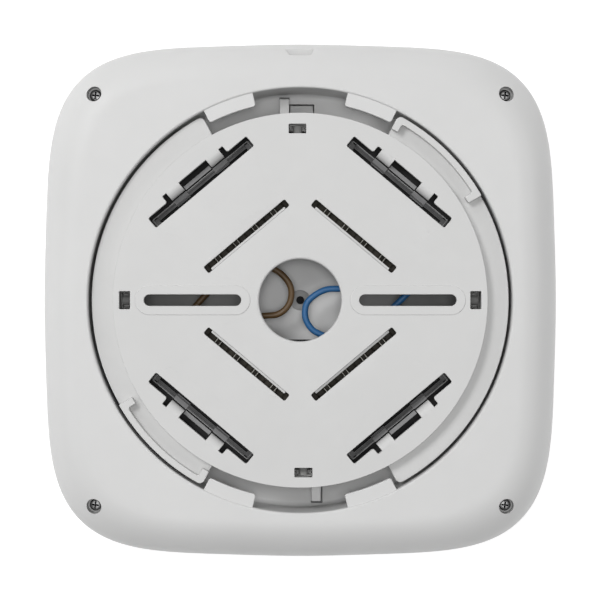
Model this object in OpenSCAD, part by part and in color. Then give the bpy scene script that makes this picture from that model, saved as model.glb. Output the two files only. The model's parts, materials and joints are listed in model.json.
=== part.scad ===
// Ceiling access point with a twist-lock mounting plate.
// +Z points at the ceiling. The origin is the centre of the cable entry, on the plate's
// rear face, and the unit hangs below it.
// All sizes are in millimetres.

/* [Enclosure] */
// Half width of the enclosure, measured to the middle of a side
half_w = 105; // [100:0.5:110]
// Roundness of the outline: 2 is a circle, higher is squarer
outline_n = 4.6; // [4:0.1:5.5]
// Height of the flat back below the ceiling plane
back_z = -1; // [-2:0.1:-0.6]
// Width of the rounded rim of the back, seen from behind
rim_in = 16; // [13:0.5:17]
// Depth of the rounded rim of the back
rim_deep = 20; // [17:0.5:21]
// Height of the joint between the back housing and the front cover
part_z = -26; // [-26.4:0.1:-25.6]
// Height of the front cover's lowest point
front_z = -48; // [-50:0.5:-47.5]
// Wall thickness of the back housing and front cover
wall = 2.5; // [2:0.1:2.8]

/* [Well] */
// Radius of the round well in the back housing
well_r = 85.2; // [85:0.1:86]
// Height of the well's floor
floor_z = -25; // [-25.4:0.1:-24.6]
// Thickness of the well's floor
floor_t = 2.5; // [2:0.1:2.8]
// Inner radius of the four bayonet tabs
tab_r = 79.8; // [79:0.1:80.4]
// Angle from the long axis at which a tab begins
tab_a0 = 12.9; // [12:0.1:14]
// Angle from the long axis at which a tab ends
tab_a1 = 27; // [25:0.1:27.2]

/* [Mounting plate] */
// Radius of the raised disc
disc_r = 75; // [74:0.1:75]
// Radius of the two bayonet wings
wing_r = 83.9; // [83:0.1:84.2]
// Half angle covered by a wing
wing_a = 62; // [60:0.1:62]
// Radius of the cable entry
entry_r = 16.5; // [12:0.5:18]
// Distance of a screw slot's middle from the centre
slot_x = 43.1; // [42:0.1:44]
// Length of a screw slot, end to end
slot_l = 39; // [30:0.5:40]
// Half width of a screw slot
slot_r = 2.3; // [2.1:0.05:2.5]

/* [Clip and seal slots] */
// Azimuth of the four pairs of tangential slots
diag_a = 50; // [48:0.5:52]
// Distance of a clip slot from the centre
clip_d = 61.7; // [61:0.1:62]
// Length of a clip slot
clip_l = 51.2; // [48:0.2:52]
// Width of a clip slot
clip_w = 5; // [4.6:0.1:5.2]
// Distance of a seal slot from the centre
seal_d = 33.4; // [33:0.1:34]
// Length of a seal slot
seal_l = 42.4; // [40:0.2:43]
// Width of a seal slot
seal_w = 3.3; // [3:0.1:3.5]

/* [Wiring] */
// Diameter of the insulated mains leads
lead_d = 2.6; // [2.4:0.1:2.7]

/* [Hidden] */
$fn = 96;

disc_z = 0;                    // rear face of the disc
pad_z = 0.3;                   // rear face of the pads round the screw slots
disc_t = 2.6;                  // thickness of the disc
skirt_z = -20;                 // lower edge of the skirt
wing_top = -4.6;
wing_bot = -7;
band_z = -7.4;                 // top of the skirt's lower band
stop_z = -17;                  // top of the stop ribs
tab_top = -1.6;
tab_bot = -4.2;
floor_b = floor_z - floor_t;   // underside of the well's floor
cup_r = well_r + 2.5;          // outside of the well
board_z = -38;                 // rear face of both circuit boards
board_t = 1.6;
scr = 82.9;                    // corner screws stand at (+-scr, +-scr)
head_z = -10;                  // top of a corner screw's head
NP = 96;                       // points round the outline

// ---------- outline and lofts ----------
function sq_r(t) = pow(pow(abs(cos(t)), outline_n) + pow(abs(sin(t)), outline_n), -1 / outline_n)
                   * (1 + 0.0033 * cos(8 * t));
function sq_ring(hw, z) = [for (i = [0:NP - 1]) let (t = i * 360 / NP)
                           [hw * sq_r(t) * cos(t), hw * sq_r(t) * sin(t), z]];

// Solid through a list of [half width, z] levels, listed from the top down
module loft(levels) {
    n = len(levels);
    pts = [for (l = levels) each sq_ring(l[0], l[1])];
    sides = [for (k = [0:n - 2], i = [0:NP - 1]) let (j = (i + 1) % NP)
             [k * NP + i, k * NP + j, (k + 1) * NP + j, (k + 1) * NP + i]];
    polyhedron(points = pts,
               faces = concat([[for (i = [NP - 1:-1:0]) i]], sides,
                      [[for (i = [0:NP - 1]) (n - 1) * NP + i]]));
}

// Straight prism with the same outline
module outline_prism(hw, z0, z1) {
    translate([0, 0, z0]) linear_extrude(z1 - z0)
        polygon([for (i = [0:NP - 1]) let (t = i * 360 / NP) [hw * sq_r(t) * cos(t), hw * sq_r(t) * sin(t)]]);
}

rear_out = concat([for (i = [0:9]) let (u = i * 10)
                   [half_w - rim_in * (1 - sin(u)), back_z - rim_deep * (1 - cos(u))]],
                  [[half_w, part_z]]);
rear_in = concat([for (i = [0:9]) let (u = i * 10)
                  [half_w - wall - (rim_in - 1) * (1 - sin(u)), back_z - wall - (rim_deep - 2) * (1 - cos(u))]],
                 [[half_w - wall, part_z - 3]]);
front_deep = part_z - front_z;
front_out = concat([for (i = [0:9]) let (w = i * 10)
                    [half_w - 26 * (1 - cos(w)), part_z - front_deep * sin(w)]]);
front_in = concat([[half_w - wall, part_z + 3]],
                  [for (i = [0:9]) let (w = i * 10)
                    [half_w - wall - 25 * (1 - cos(w)), part_z - (front_deep - 2.4) * sin(w)]]);

// ---------- small helpers ----------
module rod(r, z0, z1) { translate([0, 0, z0]) cylinder(r = r, h = z1 - z0); }
module block(x0, x1, y0, y1, z0, z1) { translate([x0, y0, z0]) cube([x1 - x0, y1 - y0, z1 - z0]); }
module ring(r0, r1, z0, z1) {
    difference() { rod(r1, z0, z1); rod(r0, z0 - 1, z1 + 1); }
}
module wedge(a0, a1, R, z0, z1) {
    n = max(1, ceil((a1 - a0) / 20));
    translate([0, 0, z0]) linear_extrude(z1 - z0)
        polygon(concat([[0, 0]], [for (i = [0:n]) let (a = a0 + (a1 - a0) * i / n) [R * cos(a), R * sin(a)]]));
}
module ring_sector(r0, r1, a0, a1, z0, z1) {
    intersection() { ring(r0, r1, z0, z1); wedge(a0, a1, r1 * 1.3, z0 - 1, z1 + 1); }
}
// Slot with round ends, its length along X
module stadium(l, r, z0, z1) {
    block(-l / 2 + r, l / 2 - r, -r, r, z0, z1);
    for (s = [-1, 1]) translate([s * (l / 2 - r), 0, 0]) rod(r, z0, z1);
}
// Places children in the four diagonal slots' own frame: X along the slot, +Y outwards
module at_diagonals(d) {
    for (a = [diag_a, 180 - diag_a, 180 + diag_a, 360 - diag_a])
        rotate(a - 90) translate([0, d, 0]) children();
}
module at_corners(x, y) { for (sx = [-1, 1], sy = [-1, 1]) translate([sx * x, sy * y, 0]) children(); }

// ---------- leads ----------
function cr(a, b, c, d, t) = 0.5 * (2 * b + (c - a) * t + (2 * a - 5 * b + 4 * c - d) * t * t
                                    + (3 * b - a - 3 * c + d) * t * t * t);
function spline(p, m) = let (n = len(p)) concat(
    [for (i = [0:n - 2], k = [0:m - 1])
        cr(p[max(0, i - 1)], p[i], p[i + 1], p[min(n - 1, i + 2)], k / m)], [p[n - 1]]);
function unit(v) = v / norm(v);
// A tube of radius r along path q, with s sides
module sweep(q, r, s = 8) {
    n = len(q);
    tan_ = [for (i = [0:n - 1]) unit(q[min(n - 1, i + 1)] - q[max(0, i - 1)])];
    nrm = [for (i = 0, v = unit(cross(tan_[0], [0.3, 0.2, 0.9])); i < n;
           i = i + 1, v = i < n ? unit(v - tan_[i] * (v * tan_[i])) : v) v];
    pts = [for (i = [0:n - 1], k = [0:s - 1]) let (b = cross(tan_[i], nrm[i]))
           q[i] + r * (nrm[i] * cos(k * 360 / s) + b * sin(k * 360 / s))];
    polyhedron(points = pts, faces = concat(
        [[for (k = [s - 1:-1:0]) k]],
        [for (i = [0:n - 2], k = [0:s - 1]) let (m = (k + 1) % s)
            [i * s + k, i * s + m, (i + 1) * s + m, (i + 1) * s + k]],
        [[for (k = [0:s - 1]) (n - 1) * s + k]]));
}
live_pts = [[-5, -28, -18.5], [-5, -33.5, -18.5], [-9, -37.5, -17.5], [-17, -37, -16], [-25, -30, -14.5],
            [-28, -20, -13], [-26.5, -12, -12.2], [-21.5, -7.6, -12], [-15, -6.4, -12], [-9.5, -5.8, -12],
            [-6, -3.6, -12], [-3.9, 0.1, -12], [-3.8, 5, -12], [-6.5, 9.5, -12], [-11, 12.8, -12],
            [-17.5, 15.4, -12], [-25, 14, -12], [-32, 8.5, -12], [-40.3, 0, -12], [-47, -8, -12.6],
            [-52, -17, -14.5], [-54.6, -25, -18.5],
            [-55, -30, -23], [-55, -31.4, -27], [-54.5, -34, -31.2], [-54, -38, -33.7], [-54, -42, -33.9]];
neutral_pts = [[5, -28, -18.5], [5, -33.5, -18.5], [8.5, -37, -17.5], [15, -35.5, -15.6], [19, -29, -13.6],
               [18.5, -21.5, -12.4], [14, -16, -12], [8.6, -14, -12], [4.6, -11.6, -12], [2.1, -7, -12],
               [2.6, -1.5, -12], [6.2, 2.2, -12], [11, 4.4, -12], [17, 4.7, -12], [24, 5.8, -12],
               [31, 9.5, -12], [38, 13.6, -12], [46, 17, -12], [53, 15.6, -12], [54, 10, -12], [48.2, 6.8, -12],
               [40.8, 0, -12], [34.5, -6.6, -12.2], [30.8, -14, -13.2], [30, -22, -16.4], [30, -28, -21.5],
               [30, -30.8, -26.5], [31, -33.5, -30.8], [32.8, -38, -33.7], [33, -42, -33.9]];

// =====================================================================
// Mounting plate: stays on the ceiling
// =====================================================================
module clip_slot_cut() {
    block(-clip_l / 2, clip_l / 2, -clip_w / 2, clip_w / 2, -4, 1);
    block(-7.1, 7.1, 0, 5.5, -4, 1);
    for (s = [-1, 1]) translate([s * 14.65, 0, 0]) block(-1.05, 1.05, 0, 5.6, -4, 1);
}
module wing_corner_cut(a, s) {
    ac = a - s * asin(4.8 / (wing_r - 4.8));
    difference() {
        ring_sector(wing_r - 4.8, wing_r + 3, min(ac, a + s * 2), max(ac, a + s * 2), wing_bot - 1, disc_z + 1);
        translate([(wing_r - 4.8) * cos(ac), (wing_r - 4.8) * sin(ac), 0]) rod(4.8, wing_bot - 2, disc_z + 2);
    }
}
module wing() {
    difference() {
        union() {
            ring_sector(disc_r - 1, wing_r, -wing_a, wing_a, wing_bot, wing_top);
            // Raised stop rail along the outer edge, with an inward hook at each end
            ring_sector(80.8, wing_r, 30, wing_a, wing_bot, disc_z - 0.6);
            ring_sector(77.8, 81.5, 30, 32.1, wing_bot, disc_z - 0.6);
            ring_sector(77.8, 81.5, wing_a - 2.2, wing_a, wing_bot, disc_z - 0.6);
        }
        wing_corner_cut(wing_a, 1);
        wing_corner_cut(-wing_a, -1);
    }
}
module skirt_notch(a) { rotate(a) block(disc_r - 6, disc_r + 2, -6.2, 6.2, skirt_z - 1, skirt_z + 4); }
// Springy arm below a window, with a barb at its foot
module snap_arm() {
    block(-2.3, 2.3, -0.7, 0.9, -13, disc_z - disc_t + 0.2);
    translate([-2.3, -0.7, -13]) rotate([90, 0, 90]) linear_extrude(4.6) polygon([[0.1, 0], [0.1, 2.6], [0, 2.6], [-1.2, 1.6], [0, 0]]);
}
module mounting_plate() {
    color("whitesmoke") {
        difference() {
            union() {
                rod(disc_r, disc_z - disc_t, disc_z);
                ring(disc_r - 1.8, disc_r, band_z, disc_z - 0.5);
                for (s = [-1, 1]) translate([s * slot_x, 0, 0]) stadium(slot_l + 7.2, slot_r + 3.6, disc_z - disc_t, pad_z);
                for (a = [0, 180]) rotate(a) wing();
            }
            rod(entry_r, -6, 2);
            for (s = [-1, 1]) translate([s * slot_x, 0, 0]) stadium(slot_l, slot_r, -6, 2);
            at_diagonals(clip_d) clip_slot_cut();
            at_diagonals(seal_d) block(-seal_l / 2, seal_l / 2, -seal_w / 2, seal_w / 2, -4, 1);
            // Windows over the snap arms
            translate([-1.1, 68.7, 0]) block(-3.5, 3.5, -1.9, 1.9, -4, 1);
            translate([1.3, -69, 0]) block(-3.6, 3.6, -1.9, 1.9, -4, 1);
            for (s = [-1, 1]) translate([s * 70.3, 0, 0]) block(-2.2, 2.2, -3.6, 3.6, -4, 1);
        }
        // Bent lips of the clip slots
        at_diagonals(clip_d) for (s = [-1, 1]) translate([s * 10.35, 0, 0])
            block(-3.25, 3.25, 2.2, 2.9, -4.4, -2.2);
        // Low ledge inside each seal slot, on the side of the centre
        at_diagonals(seal_d) block(-19.7, 19.7, -seal_w / 2 - 0.4, -seal_w / 2 + 1.05, disc_z - disc_t, -1.1);
        // Snap arms
        translate([-1.1, 70.7, 0]) snap_arm();
        translate([1.3, -71, 0]) rotate(180) snap_arm();
        for (s = [-1, 1]) rotate(-90 * s) translate([0, 69.2, 0]) translate([0, 2.9, 0]) mirror([0, 1, 0]) snap_arm();
    }
}

// Dark moulded sockets under the clip slots
// Lower band of the plate's skirt, with the detent notches of the open and the locked position
module plate_skirt() {
    color("gainsboro") difference() {
        union() {
            ring(disc_r - 1.8, disc_r, skirt_z, band_z);
            // Lugs under the wings, which meet the stop ribs
            for (a = [0, 180]) rotate(a) ring_sector(disc_r - 1, disc_r + 6, 118.4, 121.5, skirt_z + 1, band_z - 0.6);
        }
        for (a = [90, 111, 270, 291]) skirt_notch(a);
    }
}

module clip_socket() {
    difference() {
        block(-26.4, 26.4, -3.5, 6.4, -9.4, disc_z - disc_t);
        block(-25.8, 25.8, -2.7, 5.8, -8.4, -1);
    }
    block(-25.8, 25.8, -1.3, 0.65, -8.6, -5.6);
}
module clip_sockets() { color([0.2, 0.2, 0.2]) at_diagonals(clip_d) clip_socket(); }

// Spring tongues held in each socket
module clip_spring() {
    for (s = [-1, 1]) translate([s * 10.2, 0, 0]) block(-3.4, 3.4, -0.85, 0.6, -5.6, -4.9);
    block(-6.7, 6.7, 1.45, 3.1, -8.4, -4.9);
}
module clip_springs() { color([0.55, 0.55, 0.55]) at_diagonals(clip_d) clip_spring(); }

// Ribbed rubber seals under the four narrow slots
module slot_seal() {
    difference() {
        block(-22.4, 22.4, -2.8, 2.9, -7.4, disc_z - disc_t);
        block(-21.1, 21.1, -1.65, 1.65, -6.2, -1);
    }
    for (u = [3.8, 5.8, 13.4, 15.4], s = [-1, 1]) translate([s * u, 0, 0])
        block(-0.16, 0.16, -1.65, 1.65, -6.4, -3.2);
}
module slot_seals() { color([0.16, 0.14, 0.12]) at_diagonals(seal_d) slot_seal(); }

// =====================================================================
// Unit: twists on the plate
// =====================================================================
module stop_rib() { block(-8.4, -4.55, 76, 82.1, floor_z - 0.5, stop_z); }
module tab(a) {
    difference() {
        ring_sector(tab_r, well_r + 0.6, a - (tab_a1 - tab_a0) / 2, a + (tab_a1 - tab_a0) / 2, tab_bot, tab_top);
        // Rounded inner corners
        for (s = [-1, 1]) rotate(a + s * (tab_a1 - tab_a0) / 2) translate([tab_r, 0, 0]) rotate(s > 0 ? 180 : 90)
            translate([-1.5, -1.5, 0]) difference() {
                block(0, 2, 0, 2, tab_bot - 1, tab_top + 1);
                rod(1.5, tab_bot - 2, tab_top + 2);
            }
    }
}
module rear_housing() {
    tm = 90 - (tab_a0 + tab_a1) / 2;
    color("whitesmoke") {
        difference() {
            union() {
                difference() {
                    loft(rear_out);
                    difference() {
                        loft(rear_in);
                        rod(cup_r, -40, 0);
                        at_corners(scr, scr) rod(5, -40, 0);
                    }
                }
            }
            rod(well_r, -40, 2);
            rod(cup_r + 1, -40, floor_z);
            // Corner screws
            at_corners(scr, scr) { rod(3.1, head_z - 2, 2); rod(1.8, -40, head_z); }
            // Tool notch in the rim
            block(-6.2, 5.4, 98.6, 110, -9.8, -5.6);
        }
        for (a = [tm, 180 - tm, 180 + tm, 360 - tm]) tab(a);
        // Lip that presses on the gasket
        difference() {
            outline_prism(half_w - wall + 0.3, part_z, part_z + 2.2);
            outline_prism(half_w - wall - 2.4, part_z - 1, part_z + 4);
        }
        // Sill behind the tool notch
        difference() {
            block(-8, 7.2, 95.6, 98.6, -12.2, back_z - 1.5);
            rod(cup_r - 0.5, -30, 2);
        }
    }
}

// Floor of the well, with the stop ribs above it and the board posts below it
module well_floor() {
    color("gainsboro") {
        difference() {
            union() {
                rod(cup_r, floor_b, floor_z);
                // Posts for the two boards
                at_corners(56, 0) for (y = [-18, 62]) translate([0, y, 0]) rod(3, board_z, floor_b + 0.5);
                at_corners(48, 0) for (y = [-36, -69]) translate([0, y, 0]) rod(3, board_z, floor_b + 0.5);
                // Bearings of the detent tongue
                block(-7.3, -4.6, 59.6, 64.2, floor_b - 1.5, floor_b + 0.1);
                block(5.6, 8.5, 59.6, 64.2, floor_b - 1.5, floor_b + 0.1);
            }
            // Pilot holes of the posts
            at_corners(56, 0) for (y = [-18, 62]) translate([0, y, 0]) rod(1.25, board_z - 1, floor_b - 0.5);
            at_corners(48, 0) for (y = [-36, -69]) translate([0, y, 0]) rod(1.25, board_z - 1, floor_b - 0.5);
            // Network socket, lead grommets, detent tongue
            block(-8.2, 8.2, 42.8, 57.2, floor_b - 1, floor_z + 1);
            translate([-55, -31.2, 0]) rod(3.6, floor_b - 1, floor_z + 1);
            translate([30, -30.9, 0]) rod(3.6, floor_b - 1, floor_z + 1);
            block(-4.5, 5.7, 60.5, 80.7, floor_b - 1, floor_z + 1);
            translate([-6, 61.9, floor_z - 1.8]) rotate([0, 90, 0]) cylinder(r = 0.95, h = 13.2);
            rod(1.65, floor_b - 1, floor_z + 1);
            // Dish round the reset hole
            translate([0, 0, floor_z - 0.9]) cylinder(r1 = 1.65, r2 = 4.05, h = 0.91);
        }
        stop_rib();
        rotate(180) stop_rib();
    }
}
module front_cover() {
    color("white") difference() {
        union() {
            difference() {
                loft(front_out);
                difference() {
                    loft(front_in);
                    at_corners(scr, scr) rod(4.2, -60, part_z);
                    rod(6, -60, -43);
                }
            }
            // Inner flange that carries the gasket
            difference() {
                outline_prism(half_w - wall + 0.2, part_z - 2.4, part_z);
                outline_prism(half_w - wall - 2.6, part_z - 4, part_z + 1);
            }
        }
        // Gasket groove
        difference() {
            outline_prism(half_w - wall - 0.5, part_z - 1.2, part_z + 1);
            outline_prism(half_w - wall - 1.8, part_z - 2, part_z + 2);
        }
        at_corners(scr, scr) rod(1.55, part_z - 9, part_z + 1);
        rod(4.05, -60, -40);
    }
}
module cover_gasket() {
    color([0.13, 0.13, 0.13]) difference() {
        outline_prism(half_w - wall - 0.6, part_z - 1.2, part_z);
        outline_prism(half_w - wall - 1.7, part_z - 2, part_z + 1);
    }
}
module cross_recess(z, d) {
    block(-1.5, 1.5, -0.35, 0.35, z - d, z + 1);
    block(-0.35, 0.35, -1.5, 1.5, z - d, z + 1);
}
module corner_screws() {
    color("silver") at_corners(scr, scr) difference() {
        union() { rod(2.4, head_z - 2, head_z); rod(1.5, part_z - 8, head_z - 1.9); }
        cross_recess(head_z, 1.2);
    }
}

// ---------- mains terminal ----------
module terminal_block() {
    color([0.12, 0.12, 0.13]) difference() {
        block(-11, 11, -30, -16.2, floor_z, -12);
        for (s = [-1, 1]) translate([s * 5, 0, 0]) {
            translate([0, -31, -18.5]) rotate([-90, 0, 0]) cylinder(r = 1.5, h = 6);
            translate([0, -22, -18.5]) rotate([-90, 0, 0]) cylinder(r = 1.6, h = 8);
            block(-2, 2, -27, -21, -16, -11);
            block(-1.7, 1.7, -25.2, -21.8, -20.4, -16.8);
        }
    }
}
module terminal_contacts() {
    color("gold") for (s = [-1, 1]) translate([s * 5, 0, 0]) block(-1.5, 1.5, -24.9, -22.1, -20.4, -17);
}
module release_button(s) {
    color([0.85, 0.45, 0.15]) translate([s * 5, 0, 0]) block(-1.85, 1.85, -26.85, -21.15, -14.9, -10.9);
}

module live_lead() { color([0.40, 0.25, 0.12]) sweep(spline(live_pts, 3), lead_d / 2, 10); }
module neutral_lead() { color([0.10, 0.30, 0.55]) sweep(spline(neutral_pts, 3), lead_d / 2, 10); }
module grommet() {
    difference() {
        union() { rod(3.6, floor_b, floor_z); rod(4.8, floor_z, floor_z + 1); rod(4.8, floor_b - 1, floor_b); }
        rod(2.7, floor_b - 2, floor_z + 2);
    }
}
module lead_grommets() {
    color([0.1, 0.1, 0.1]) { translate([-55, -31.2, 0]) grommet(); translate([30, -30.9, 0]) grommet(); }
}

// ---------- detent ----------
// The tongue flexes at its inner end. Its ridge springs into a notch in the plate's skirt.
module detent_tongue() {
    color("whitesmoke") {
        block(-4.2, 5.2, 60.9, 80.2, floor_z - 1.8, floor_z);
        translate([-4.2, 0, 0]) rotate([90, 0, 90]) linear_extrude(9.4)
            polygon([[71.4, floor_z - 0.1], [76.6, floor_z - 0.1], [74.6, skirt_z - 0.5], [73, skirt_z - 0.5]]);
        // Root pin about which the tongue bends
        translate([0.5, 61.9, floor_z - 1.8]) rotate([0, 90, 0]) translate([0, 0, -5.9]) cylinder(r = 0.9, h = 11.8);
    }
}

// ---------- reset ----------
module reset_button() {
    color([0.2, 0.2, 0.2]) { rod(1.6, -34.5, -26.6); rod(2.6, -28.7, -27.6); }
}
module reset_switch() {
    color("dimgray") { block(-3, 3, -3, 3, board_z, -35.9); rod(1.7, -35.9, -35.1); }
}

// ---------- main board ----------
module main_board() {
    color("green") difference() {
        block(-62, 62, -24, 68, board_z - board_t, board_z);
        at_corners(56, 0) for (y = [-18, 62]) translate([0, y, 0]) rod(1.6, -50, -30);
    }
}
module pan_screw(z) { rod(2.4, z - 1.6, z); rod(1.2, z - 0.1, z + 6); }
module board_screws() {
    color("silver") {
        at_corners(56, 0) for (y = [-18, 62]) translate([0, y, board_z - board_t]) pan_screw(0);
        at_corners(48, 0) for (y = [-36, -69]) translate([0, y, board_z - board_t]) pan_screw(0);
    }
}
module processor() { color("black") block(-40, -23, 7, 24, board_z, board_z + 1.4); }
module thermal_pad() { color("lightblue") block(-40, -23, 7, 24, board_z + 1.4, board_z + 2.4); }
module heat_spreader() {
    color("lightgray") {
        block(-52, -12, -6, 38, board_z + 2.4, board_z + 4.4);
        for (i = [0:8]) block(-51 + i * 4.6, -49.6 + i * 4.6, -6, 38, board_z + 4.3, board_z + 9);
    }
}
module rf_shields() {
    color("silver") for (y = [-4, 30]) difference() {
        block(17, 48, y, y + 26, board_z, board_z + 3.2);
        block(17.3, 47.7, y + 0.3, y + 25.7, board_z - 1, board_z + 2.9);
    }
}
module ethernet_jack() {
    color("silver") difference() {
        block(-7.9, 7.9, 43.1, 56.9, board_z, -22);
        block(-5.9, 5.9, 46.4, 54.4, -34.5, -21);
        block(-3.1, 3.1, 44.6, 47, -34.5, -21);
    }
}
module ethernet_contacts() {
    color("gold") for (i = [0:7]) translate([(i - 3.5) * 1.27, 0, 0]) block(-0.2, 0.2, 53.2, 54.4, -33.5, -25);
}
module ethernet_transformer() { color([0.1, 0.1, 0.1]) block(-6.5, 6.5, 26, 40, board_z, board_z + 5); }
module antenna(l, w, h) {
    translate([0, 0, -h]) block(-l / 2, l / 2, -w / 2, w / 2, 0, 0.5);
    block(-l / 2, -l / 2 + 0.5, -w / 2, w / 2, -h + 0.4, 0);
    block(-l / 2 + 4, -l / 2 + 4.5, -w / 2, -w / 2 + 2, -h + 0.4, 0);
}
module antennas_24ghz() {
    color("silver") for (s = [-1, 1], y = [-4, 48]) translate([s * 48, y, board_z - board_t])
        mirror([s > 0 ? 0 : 1, 0, 0]) antenna(22, 8, 3.6);
}
module antennas_5ghz() {
    color("silver") for (s = [-1, 1], y = [14, 34]) translate([s * 26, y, board_z - board_t])
        mirror([s > 0 ? 0 : 1, 0, 0]) antenna(12, 6, 3);
}
module status_led() { color("white") block(-1.6, 1.6, -1.4, 1.4, board_z - board_t - 1, board_z - board_t); }
module status_light_pipe() { color([0.9, 0.95, 1]) { rod(4, front_z, -43.2); rod(2, -43.3, -41); } }

// ---------- power supply ----------
module power_board() {
    color([0.75, 0.65, 0.4]) difference() {
        block(-60, 60, -74, -30, board_z - board_t, board_z);
        at_corners(48, 0) for (y = [-36, -69]) translate([0, y, 0]) rod(1.6, -50, -30);
    }
}
module power_transformer() {
    color([0.85, 0.75, 0.3]) {
        block(2, 28, -66, -44, board_z, board_z + 2);
        block(2, 28, -66, -44, board_z + 7.4, board_z + 9.4);
        block(5, 25, -64, -46, board_z + 1.9, board_z + 7.5);
    }
}
module input_choke() {
    color([0.7, 0.4, 0.2]) translate([-30, -56, 0]) ring(3.5, 8.5, board_z, board_z + 8);
}
module capacitors() {
    color([0.15, 0.2, 0.35]) for (y = [-48, -60]) translate([-18, y, board_z + 4.2]) rotate([0, 90, 0]) cylinder(r = 4.2, h = 16);
}
module fuse() {
    color("silver") {
        translate([-43, -50, board_z + 2.6]) rotate([90, 0, 0]) cylinder(r = 2.6, h = 5);
        translate([-43, -60, board_z + 2.6]) rotate([90, 0, 0]) cylinder(r = 2.6, h = 5);
        translate([-43, -54.9, board_z + 2.6]) rotate([90, 0, 0]) cylinder(r = 2.2, h = 5.2);
    }
}
module input_tabs() {
    color("silver") for (x = [-54, 33]) translate([x, 0, 0]) difference() {
        block(-2, 2, -46, -40, board_z, -31.6);
        translate([0, -39, -33.9]) rotate([90, 0, 0]) cylinder(r = 1.45, h = 4);
    }
}
// Board-to-board header that feeds the main board
module power_link() {
    color([0.95, 0.95, 0.9]) { block(-14, -4, -33.5, -30.5, board_z, board_z + 6); block(-14, -4, -23.5, -20.5, board_z, board_z + 6);
        block(-13.5, -4.5, -31, -23, board_z + 4, board_z + 5.6); }
}

mounting_plate();
plate_skirt();
clip_sockets();
clip_springs();
slot_seals();
rear_housing();
well_floor();
front_cover();
cover_gasket();
corner_screws();
terminal_block();
terminal_contacts();
release_button(-1);  // release_button_live
release_button(1);  // release_button_neutral
live_lead();
neutral_lead();
lead_grommets();
detent_tongue();
reset_button();
reset_switch();
main_board();
board_screws();
processor();
thermal_pad();
heat_spreader();
rf_shields();
ethernet_jack();
ethernet_contacts();
ethernet_transformer();
antennas_24ghz();
antennas_5ghz();
status_led();
status_light_pipe();
power_board();
power_transformer();
input_choke();
capacitors();
fuse();
input_tabs();
power_link();
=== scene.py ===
import json
import math

import bmesh
import bpy
from mathutils import Matrix, Vector


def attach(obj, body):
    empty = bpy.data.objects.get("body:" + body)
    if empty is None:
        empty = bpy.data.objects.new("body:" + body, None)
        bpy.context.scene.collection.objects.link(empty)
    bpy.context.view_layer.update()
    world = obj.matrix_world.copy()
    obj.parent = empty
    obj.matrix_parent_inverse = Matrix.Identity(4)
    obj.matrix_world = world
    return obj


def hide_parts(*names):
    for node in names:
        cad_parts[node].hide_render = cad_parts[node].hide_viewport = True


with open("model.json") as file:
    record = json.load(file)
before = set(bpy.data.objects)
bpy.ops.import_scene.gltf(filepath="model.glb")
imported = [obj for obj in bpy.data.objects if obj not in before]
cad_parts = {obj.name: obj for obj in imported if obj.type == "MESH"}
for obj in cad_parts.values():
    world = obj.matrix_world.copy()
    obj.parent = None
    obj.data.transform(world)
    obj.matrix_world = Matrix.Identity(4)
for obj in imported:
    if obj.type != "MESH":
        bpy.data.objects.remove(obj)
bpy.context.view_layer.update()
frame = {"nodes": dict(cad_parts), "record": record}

scene = bpy.context.scene
MM = 0.001
D = 813.0                                    # camera height above the plate, mm

# ------------------------------------------------------------------ camera
cam_data = bpy.data.cameras.new("camera")
cam_data.sensor_width = 36.0
cam_data.lens = 36.0 * D / 240.0
cam_data.clip_start = 0.05
cam_data.clip_end = 20
camera = bpy.data.objects.new("camera", cam_data)
camera.location = (-0.00008, 0.00008, D * MM)
scene.collection.objects.link(camera)
scene.camera = camera
scene.view_settings.view_transform = "Standard"

# ------------------------------------------------------------------ mesh helpers (all in mm)
def sind(a): return math.sin(math.radians(a))
def cosd(a): return math.cos(math.radians(a))


def make(name, verts, faces):
    me = bpy.data.meshes.new(name)
    me.from_pydata([(x * MM, y * MM, z * MM) for x, y, z in verts], [], faces)
    bm = bmesh.new()
    bm.from_mesh(me)
    bmesh.ops.recalc_face_normals(bm, faces=bm.faces)
    bm.to_mesh(me)
    bm.free()
    ob = bpy.data.objects.new(name, me)
    scene.collection.objects.link(ob)
    return ob


def stack(name, rings, cap=True, loop=False):
    """Closed skin through rings of equal length."""
    n = len(rings[0])
    m = len(rings)
    verts = [v for r in rings for v in r]
    faces = []
    for k in range(m if loop else m - 1):
        k2 = (k + 1) % m
        for i in range(n):
            j = (i + 1) % n
            faces.append((k * n + i, k * n + j, k2 * n + j, k2 * n + i))
    if cap and not loop:
        faces.append(tuple(range(n))[::-1])
        faces.append(tuple((m - 1) * n + i for i in range(n)))
    return make(name, verts, faces)


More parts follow.
